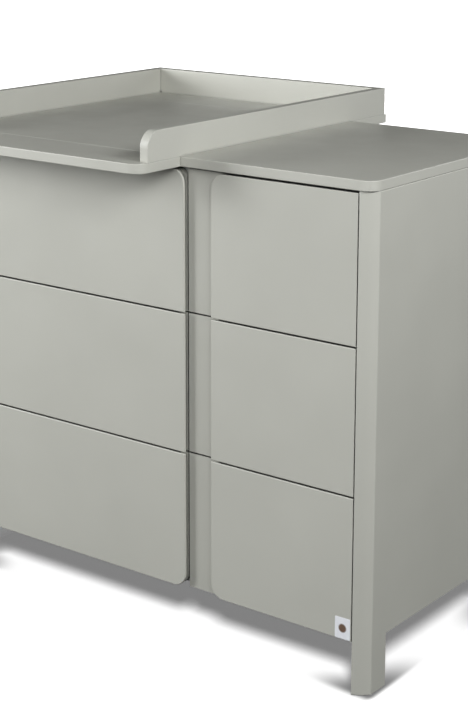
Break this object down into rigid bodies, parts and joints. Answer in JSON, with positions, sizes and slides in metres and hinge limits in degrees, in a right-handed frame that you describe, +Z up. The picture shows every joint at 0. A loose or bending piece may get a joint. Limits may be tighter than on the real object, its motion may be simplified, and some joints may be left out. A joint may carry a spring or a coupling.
{
  "type": "changing table",
  "caption": "Dresser with drawers in two columns and a fixed three-sided changing tray on its top.",
  "frame": {"origin": "on the floor, in the middle of the bounding box's footprint", "axes": "+X to the object's right as seen from the front, +Y to its back, +Z up"},
  "size_m": [1, 0.78, 0.954],
  "materials": {
    "lacquered_board": "satin lacquer, warm light grey",
    "white_board": "matte white foil",
    "birch": "raw",
    "zinc_plated_steel": "zinc plated",
    "nylon": "matte"
  },
  "bodies": {
    "cabinet": {"back_panel": "white_board", "bottom_panel": "white_board", "cabinet_slides": "zinc_plated_steel", "cam_bolts": "zinc_plated_steel", "cam_locks": "zinc_plated_steel", "divider": "white_board", "dowels": "birch", "floor_glides": "nylon", "left_side_panel": "lacquered_board", "right_side_panel": "lacquered_board", "top_board": "lacquered_board", "tray_back_wall": "lacquered_board", "tray_front_board": "lacquered_board", "tray_left_wall": "lacquered_board", "tray_rear_board": "lacquered_board", "tray_right_wall": "lacquered_board", "wall_brackets": "zinc_plated_steel", "wall_screws": "zinc_plated_steel"},
    "wide_lower_drawer": {"wide_lower_back": "white_board", "wide_lower_base": "white_board", "wide_lower_front": "lacquered_board", "wide_lower_inner_slides": "zinc_plated_steel", "wide_lower_left_side": "white_board", "wide_lower_right_side": "white_board"},
    "wide_lower_middle_slides": {"wide_lower_middle_slides": "zinc_plated_steel"},
    "wide_centre_drawer": {"wide_centre_back": "white_board", "wide_centre_base": "white_board", "wide_centre_front": "lacquered_board", "wide_centre_inner_slides": "zinc_plated_steel", "wide_centre_left_side": "white_board", "wide_centre_right_side": "white_board"},
    "wide_centre_middle_slides": {"wide_centre_middle_slides": "zinc_plated_steel"},
    "wide_upper_drawer": {"wide_upper_back": "white_board", "wide_upper_base": "white_board", "wide_upper_front": "lacquered_board", "wide_upper_inner_slides": "zinc_plated_steel", "wide_upper_left_side": "white_board", "wide_upper_right_side": "white_board"},
    "wide_upper_middle_slides": {"wide_upper_middle_slides": "zinc_plated_steel"},
    "narrow_lower_drawer": {"narrow_lower_back": "white_board", "narrow_lower_base": "white_board", "narrow_lower_front": "lacquered_board", "narrow_lower_inner_slides": "zinc_plated_steel", "narrow_lower_left_side": "white_board", "narrow_lower_right_side": "white_board"},
    "narrow_lower_middle_slides": {"narrow_lower_middle_slides": "zinc_plated_steel"},
    "narrow_centre_drawer": {"narrow_centre_back": "white_board", "narrow_centre_base": "white_board", "narrow_centre_front": "lacquered_board", "narrow_centre_inner_slides": "zinc_plated_steel", "narrow_centre_left_side": "white_board", "narrow_centre_right_side": "white_board"},
    "narrow_centre_middle_slides": {"narrow_centre_middle_slides": "zinc_plated_steel"},
    "narrow_upper_drawer": {"narrow_upper_back": "white_board", "narrow_upper_base": "white_board", "narrow_upper_front": "lacquered_board", "narrow_upper_inner_slides": "zinc_plated_steel", "narrow_upper_left_side": "white_board", "narrow_upper_right_side": "white_board"},
    "narrow_upper_middle_slides": {"narrow_upper_middle_slides": "zinc_plated_steel"}
  },
  "joints": [
    {"name": "wide_lower_drawer_slide", "type": "slide", "parent": "cabinet", "child": "wide_lower_drawer", "axis": [0, -1, 0], "range_m": [0, 0.45]},
    {"name": "wide_lower_middle_slide", "type": "slide", "parent": "cabinet", "child": "wide_lower_middle_slides", "axis": [0, -1, 0], "range_m": [0, 0.225]},
    {"name": "wide_centre_drawer_slide", "type": "slide", "parent": "cabinet", "child": "wide_centre_drawer", "axis": [0, -1, 0], "range_m": [0, 0.45]},
    {"name": "wide_centre_middle_slide", "type": "slide", "parent": "cabinet", "child": "wide_centre_middle_slides", "axis": [0, -1, 0], "range_m": [0, 0.225]},
    {"name": "wide_upper_drawer_slide", "type": "slide", "parent": "cabinet", "child": "wide_upper_drawer", "axis": [0, -1, 0], "range_m": [0, 0.45]},
    {"name": "wide_upper_middle_slide", "type": "slide", "parent": "cabinet", "child": "wide_upper_middle_slides", "axis": [0, -1, 0], "range_m": [0, 0.225]},
    {"name": "narrow_lower_drawer_slide", "type": "slide", "parent": "cabinet", "child": "narrow_lower_drawer", "axis": [0, -1, 0], "range_m": [0, 0.45]},
    {"name": "narrow_lower_middle_slide", "type": "slide", "parent": "cabinet", "child": "narrow_lower_middle_slides", "axis": [0, -1, 0], "range_m": [0, 0.225]},
    {"name": "narrow_centre_drawer_slide", "type": "slide", "parent": "cabinet", "child": "narrow_centre_drawer", "axis": [0, -1, 0], "range_m": [0, 0.45]},
    {"name": "narrow_centre_middle_slide", "type": "slide", "parent": "cabinet", "child": "narrow_centre_middle_slides", "axis": [0, -1, 0], "range_m": [0, 0.225]},
    {"name": "narrow_upper_drawer_slide", "type": "slide", "parent": "cabinet", "child": "narrow_upper_drawer", "axis": [0, -1, 0], "range_m": [0, 0.45]},
    {"name": "narrow_upper_middle_slide", "type": "slide", "parent": "cabinet", "child": "narrow_upper_middle_slides", "axis": [0, -1, 0], "range_m": [0, 0.225]}
  ],
  "couplings": [
    {"joint": "wide_lower_middle_slide", "follows": "wide_lower_drawer_slide", "ratio": 0.5},
    {"joint": "wide_centre_middle_slide", "follows": "wide_centre_drawer_slide", "ratio": 0.5},
    {"joint": "wide_upper_middle_slide", "follows": "wide_upper_drawer_slide", "ratio": 0.5},
    {"joint": "narrow_lower_middle_slide", "follows": "narrow_lower_drawer_slide", "ratio": 0.5},
    {"joint": "narrow_centre_middle_slide", "follows": "narrow_centre_drawer_slide", "ratio": 0.5},
    {"joint": "narrow_upper_middle_slide", "follows": "narrow_upper_drawer_slide", "ratio": 0.5}
  ]
}
